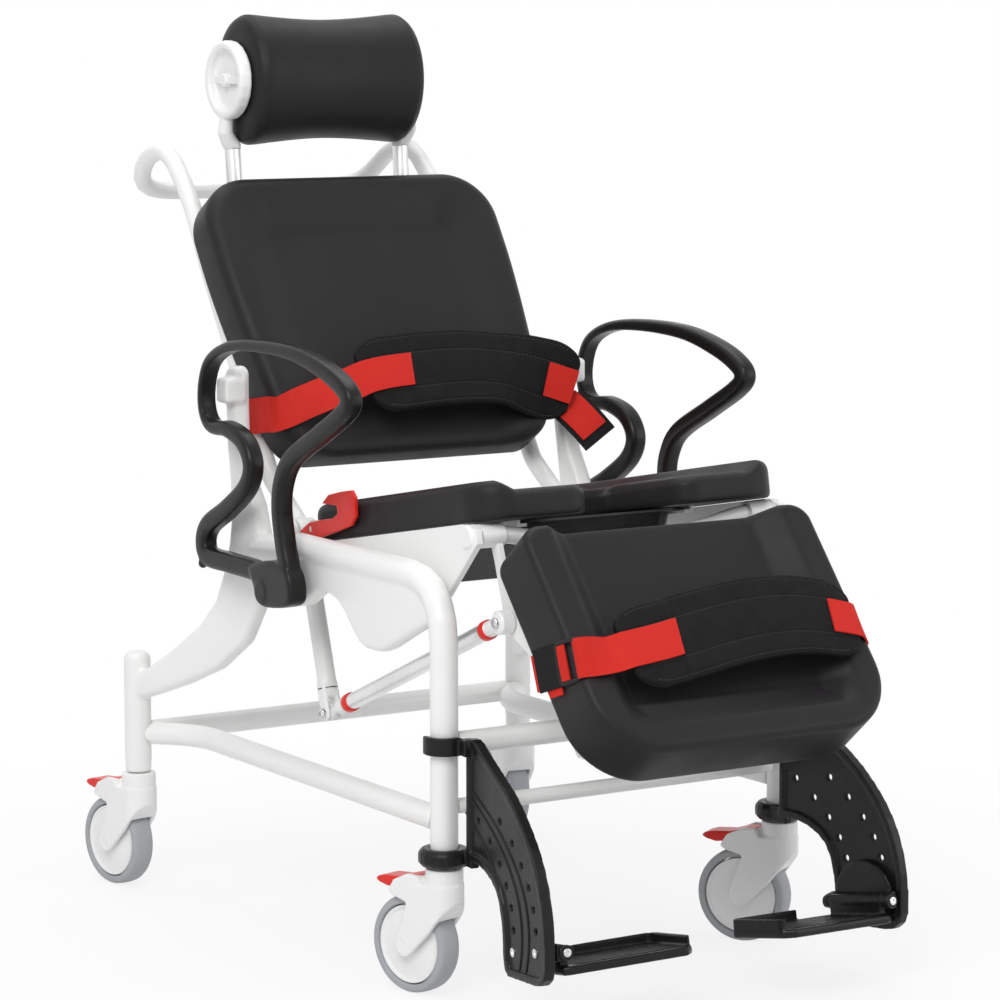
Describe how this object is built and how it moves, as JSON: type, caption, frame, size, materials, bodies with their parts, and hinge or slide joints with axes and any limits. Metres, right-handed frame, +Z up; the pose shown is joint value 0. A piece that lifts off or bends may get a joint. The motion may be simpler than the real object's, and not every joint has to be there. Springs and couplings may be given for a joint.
{
  "type": "tilt shower commode chair",
  "caption": "Wheeled tilt-in-space shower commode chair with horseshoe seat, linked back and calf support, headrest, swing armrests and folding footrests.",
  "frame": {"origin": "on the floor under the middle of the chair's outer box", "axes": "+Z up, -Y the way the seated person faces, +X the seated person's left"},
  "size_m": [0.7024, 1.2836, 1.216],
  "materials": {
    "white_paint": "white powder coat",
    "white_plastic": "white moulded plastic",
    "black_plastic": "black moulded plastic, fine grain",
    "black_foam": "black integral-skin foam, soft and matt",
    "pan_plastic": "black moulded plastic",
    "webbing": "black padded strap with red webbing",
    "red_plastic": "red moulded plastic",
    "grey_rubber": "grey non-marking tread",
    "aluminium": "satin"
  },
  "bodies": {
    "base": {"side_frame_right": "white_paint", "side_frame_left": "white_paint", "low_tube_right": "white_paint", "low_tube_left": "white_paint", "rear_cross_tube": "white_paint", "front_cross_tube": "white_paint", "front_low_cross_tube": "white_paint"},
    "seat_unit": {"seat_side_right": "white_paint", "seat_side_left": "white_paint", "knee_tube": "white_paint", "back_shaft": "white_paint", "seat_pad": "black_foam", "pan_rail_right": "white_paint", "pan_rail_left": "white_paint"},
    "pan": {"commode_pan": "pan_plastic"},
    "back": {"back_frame": "white_paint", "back_pad": "black_foam", "back_belt": "webbing", "head_holder": "white_paint"},
    "head_carrier": {"head_post_right": "aluminium", "head_post_left": "aluminium", "head_bracket_right": "white_plastic", "head_bracket_left": "white_plastic"},
    "headrest": {"head_cushion": "black_foam"},
    "calf": {"calf_frame": "white_paint", "calf_pad": "black_foam", "calf_strap": "webbing"},
    "castor_front_right": {"castor_fork_front_right": "white_plastic"},
    "wheel_front_right": {"castor_tyre_front_right": "grey_rubber", "castor_hub_front_right": "white_plastic"},
    "pedal_front_right": {"brake_pedal_front_right": "red_plastic"},
    "castor_front_left": {"castor_fork_front_left": "white_plastic"},
    "wheel_front_left": {"castor_tyre_front_left": "grey_rubber", "castor_hub_front_left": "white_plastic"},
    "pedal_front_left": {"brake_pedal_front_left": "red_plastic"},
    "castor_rear_right": {"castor_fork_rear_right": "white_plastic"},
    "wheel_rear_right": {"castor_tyre_rear_right": "grey_rubber", "castor_hub_rear_right": "white_plastic"},
    "pedal_rear_right": {"brake_pedal_rear_right": "red_plastic"},
    "castor_rear_left": {"castor_fork_rear_left": "white_plastic"},
    "wheel_rear_left": {"castor_tyre_rear_left": "grey_rubber", "castor_hub_rear_left": "white_plastic"},
    "pedal_rear_left": {"brake_pedal_rear_left": "red_plastic"},
    "clip_right": {"seat_clip_right": "red_plastic"},
    "knob_right": {"head_knob_right": "white_plastic"},
    "arm_right": {"armrest_right": "black_plastic"},
    "rod_right": {"calf_rod_right": "aluminium"},
    "foot_right": {"foot_arm_right": "black_plastic", "foot_bracket_right": "black_plastic"},
    "plate_right": {"footplate_right": "black_plastic"},
    "clip_left": {"seat_clip_left": "red_plastic"},
    "arm_left": {"armrest_left": "black_plastic"},
    "rod_left": {"calf_rod_left": "aluminium"},
    "foot_left": {"foot_arm_left": "black_plastic", "foot_bracket_left": "black_plastic"},
    "plate_left": {"footplate_left": "black_plastic"}
  },
  "joints": [
    {"name": "castor_swivel_front_right", "type": "hinge", "parent": "base", "child": "castor_front_right", "pos_m": [-0.258, -0.335, 0.167], "axis": [0, 0, 1], "continuous": true},
    {"name": "wheel_spin_front_right", "type": "hinge", "parent": "castor_front_right", "child": "wheel_front_right", "pos_m": [-0.27068, -0.28767, 0.0625], "axis": [-0.9659, -0.2588, 0], "continuous": true},
    {"name": "brake_pedal_front_right", "type": "hinge", "parent": "castor_front_right", "child": "pedal_front_right", "pos_m": [-0.26654, -0.30312, 0.149], "axis": [-0.9659, -0.2588, 0], "range_deg": [0, 9]},
    {"name": "castor_swivel_front_left", "type": "hinge", "parent": "base", "child": "castor_front_left", "pos_m": [0.258, -0.335, 0.167], "axis": [0, 0, 1], "continuous": true},
    {"name": "wheel_spin_front_left", "type": "hinge", "parent": "castor_front_left", "child": "wheel_front_left", "pos_m": [0.23276, -0.293, 0.0625], "axis": [-0.8572, -0.515, 0], "continuous": true},
    {"name": "brake_pedal_front_left", "type": "hinge", "parent": "castor_front_left", "child": "pedal_front_left", "pos_m": [0.241, -0.30671, 0.149], "axis": [-0.8572, -0.515, 0], "range_deg": [0, 9]},
    {"name": "castor_swivel_rear_right", "type": "hinge", "parent": "base", "child": "castor_rear_right", "pos_m": [-0.314, 0.395, 0.167], "axis": [0, 0, 1], "continuous": true},
    {"name": "wheel_spin_rear_right", "type": "hinge", "parent": "castor_rear_right", "child": "wheel_rear_right", "pos_m": [-0.32251, 0.44326, 0.0625], "axis": [-0.9848, -0.1736, 0], "continuous": true},
    {"name": "brake_pedal_rear_right", "type": "hinge", "parent": "castor_rear_right", "child": "pedal_rear_right", "pos_m": [-0.31973, 0.4275, 0.149], "axis": [-0.9848, -0.1736, 0], "range_deg": [0, 9]},
    {"name": "castor_swivel_rear_left", "type": "hinge", "parent": "base", "child": "castor_rear_left", "pos_m": [0.314, 0.395, 0.167], "axis": [0, 0, 1], "continuous": true},
    {"name": "wheel_spin_rear_left", "type": "hinge", "parent": "castor_rear_left", "child": "wheel_rear_left", "pos_m": [0.32251, 0.44326, 0.0625], "axis": [-0.9848, 0.1736, 0], "continuous": true},
    {"name": "brake_pedal_rear_left", "type": "hinge", "parent": "castor_rear_left", "child": "pedal_rear_left", "pos_m": [0.31973, 0.4275, 0.149], "axis": [-0.9848, 0.1736, 0], "range_deg": [0, 9]},
    {"name": "tilt", "type": "hinge", "parent": "base", "child": "seat_unit", "pos_m": [0, -0.212, 0.5], "axis": [1, 0, 0], "range_deg": [-12, 10]},
    {"name": "recline", "type": "hinge", "parent": "seat_unit", "child": "back", "pos_m": [0, 0.103, 0.532], "axis": [1, 0, 0], "range_deg": [-8, 12]},
    {"name": "calf_raise", "type": "hinge", "parent": "seat_unit", "child": "calf", "pos_m": [0, -0.352, 0.58], "axis": [1, 0, 0], "range_deg": [-18.5, 27.5]},
    {"name": "pan_slide", "type": "slide", "parent": "seat_unit", "child": "pan", "axis": [0, 0.9836, -0.1805], "range_m": [0, 0.28]},
    {"name": "headrest_height", "type": "slide", "parent": "back", "child": "head_carrier", "axis": [0, 0.5373, 0.8434], "range_m": [0, 0.08]},
    {"name": "headrest_tilt", "type": "hinge", "parent": "head_carrier", "child": "headrest", "pos_m": [0, 0.422, 1.125], "axis": [1, 0, 0], "range_deg": [-40, 40]},
    {"name": "headrest_knob_right", "type": "hinge", "parent": "head_carrier", "child": "knob_right", "pos_m": [-0.1575, 0.422, 1.125], "axis": [1, 0, 0], "range_deg": [-90, 90]},
    {"name": "calf_rod_right", "type": "hinge", "parent": "back", "child": "rod_right", "pos_m": [-0.2105, 0.0305, 0.298], "axis": [1, 0, 0], "range_deg": [-12.5, 8.5]},
    {"name": "seat_clip_right", "type": "hinge", "parent": "seat_unit", "child": "clip_right", "pos_m": [-0.2326, 0.036, 0.545], "axis": [1, 0, 0], "range_deg": [-25, 0]},
    {"name": "armrest_right", "type": "hinge", "parent": "base", "child": "arm_right", "pos_m": [-0.303, 0.03, 0.468], "axis": [1, 0, 0], "range_deg": [-60, 0]},
    {"name": "footrest_swing_right", "type": "hinge", "parent": "base", "child": "foot_right", "pos_m": [-0.258, -0.335, 0.17], "axis": [0, 0, 1], "range_deg": [-95, 0]},
    {"name": "footplate_right", "type": "hinge", "parent": "foot_right", "child": "plate_right", "pos_m": [-0.2438, -0.58862, 0.1105], "axis": [0.1198, 0.9756, -0.184], "range_deg": [-90, 0]},
    {"name": "calf_rod_left", "type": "hinge", "parent": "back", "child": "rod_left", "pos_m": [0.2105, 0.0305, 0.298], "axis": [1, 0, 0], "range_deg": [-12.5, 8.5]},
    {"name": "seat_clip_left", "type": "hinge", "parent": "seat_unit", "child": "clip_left", "pos_m": [0.2326, 0.036, 0.545], "axis": [1, 0, 0], "range_deg": [-25, 0]},
    {"name": "armrest_left", "type": "hinge", "parent": "base", "child": "arm_left", "pos_m": [0.303, 0.03, 0.468], "axis": [1, 0, 0], "range_deg": [-60, 0]},
    {"name": "footrest_swing_left", "type": "hinge", "parent": "base", "child": "foot_left", "pos_m": [0.258, -0.335, 0.17], "axis": [0, 0, 1], "range_deg": [0, 95]},
    {"name": "footplate_left", "type": "hinge", "parent": "foot_left", "child": "plate_left", "pos_m": [0.2438, -0.58862, 0.1105], "axis": [-0.1198, 0.9756, -0.184], "range_deg": [0, 90]}
  ],
  "couplings": [
    {"joint": "calf_raise", "follows": "recline", "ratio": 2.27},
    {"joint": "calf_rod_right", "follows": "recline", "ratio": -1},
    {"joint": "calf_rod_left", "follows": "recline", "ratio": -1}
  ]
}
